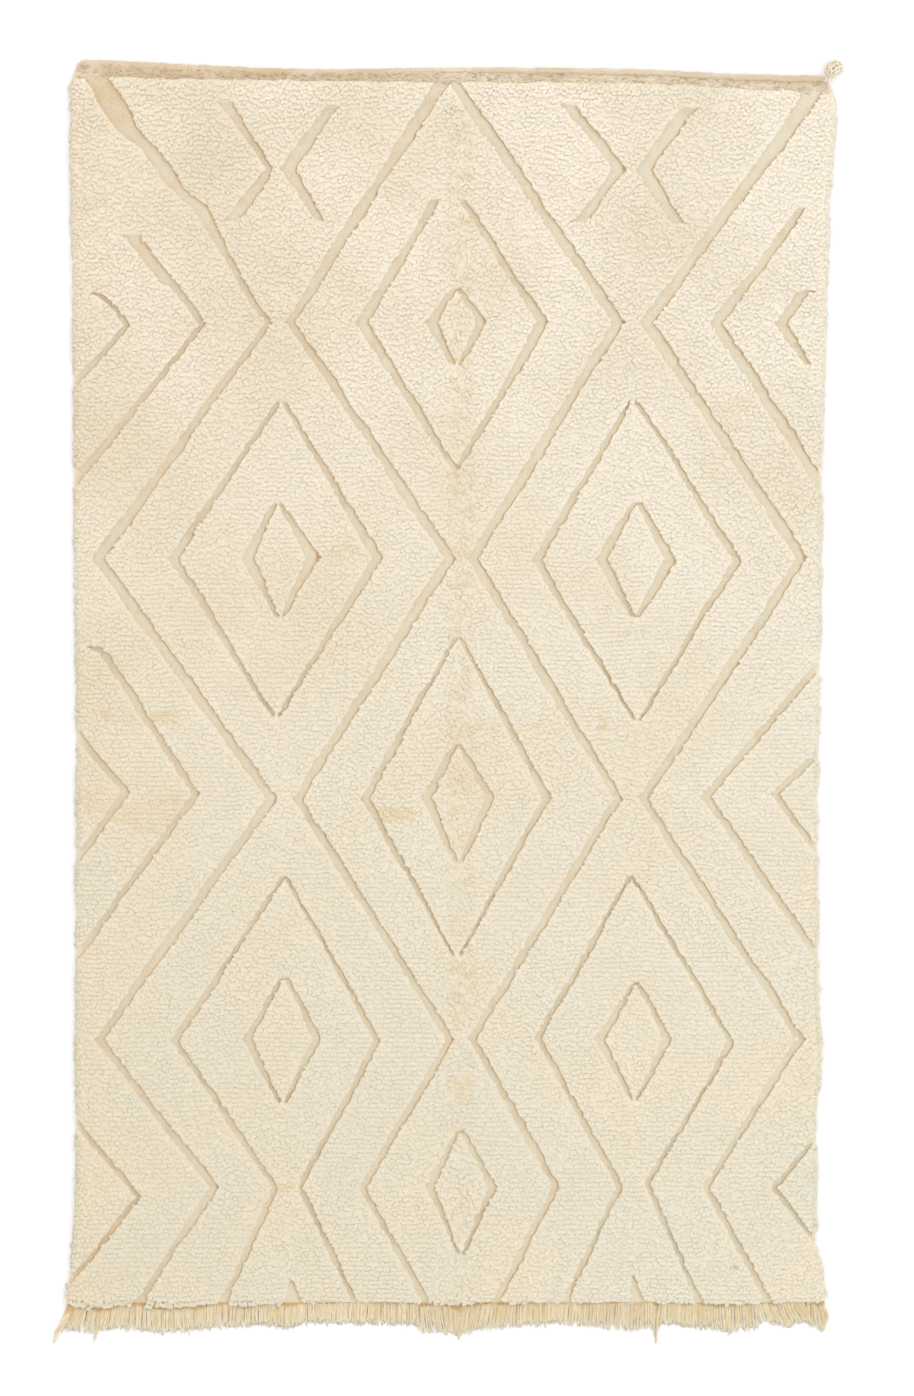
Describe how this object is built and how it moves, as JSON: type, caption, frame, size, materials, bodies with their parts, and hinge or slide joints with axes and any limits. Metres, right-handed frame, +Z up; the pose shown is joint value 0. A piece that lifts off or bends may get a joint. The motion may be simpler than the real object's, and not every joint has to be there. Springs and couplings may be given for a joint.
{
  "type": "beni ourain rug",
  "caption": "Ivory knotted wool pile rug with cut-down lozenge lines, a flat-woven hem at one end, a warp fringe at the other and a tassel at one corner.",
  "frame": {"origin": "centre of the whole rug's box in plan, fringe and tassel included, on the floor it lies on", "axes": "+Y towards the flat-woven hem, -Y towards the fringe, +X to the right seen from above with the hem away, +Z up out of the pile"},
  "size_m": [1.667, 2.7, 0.0248],
  "materials": {
    "pile_wool": "undyed ivory wool pile, knotted and cut, matt",
    "warp_wool": "straw-coloured twisted wool warps, matt",
    "cord_wool": "cream wool cord end, ragged, matt"
  },
  "bodies": {
    "root": {"rug": "pile_wool", "warp_fringe": "warp_wool", "corner_tassel": "cord_wool"}
  },
  "joints": []
}
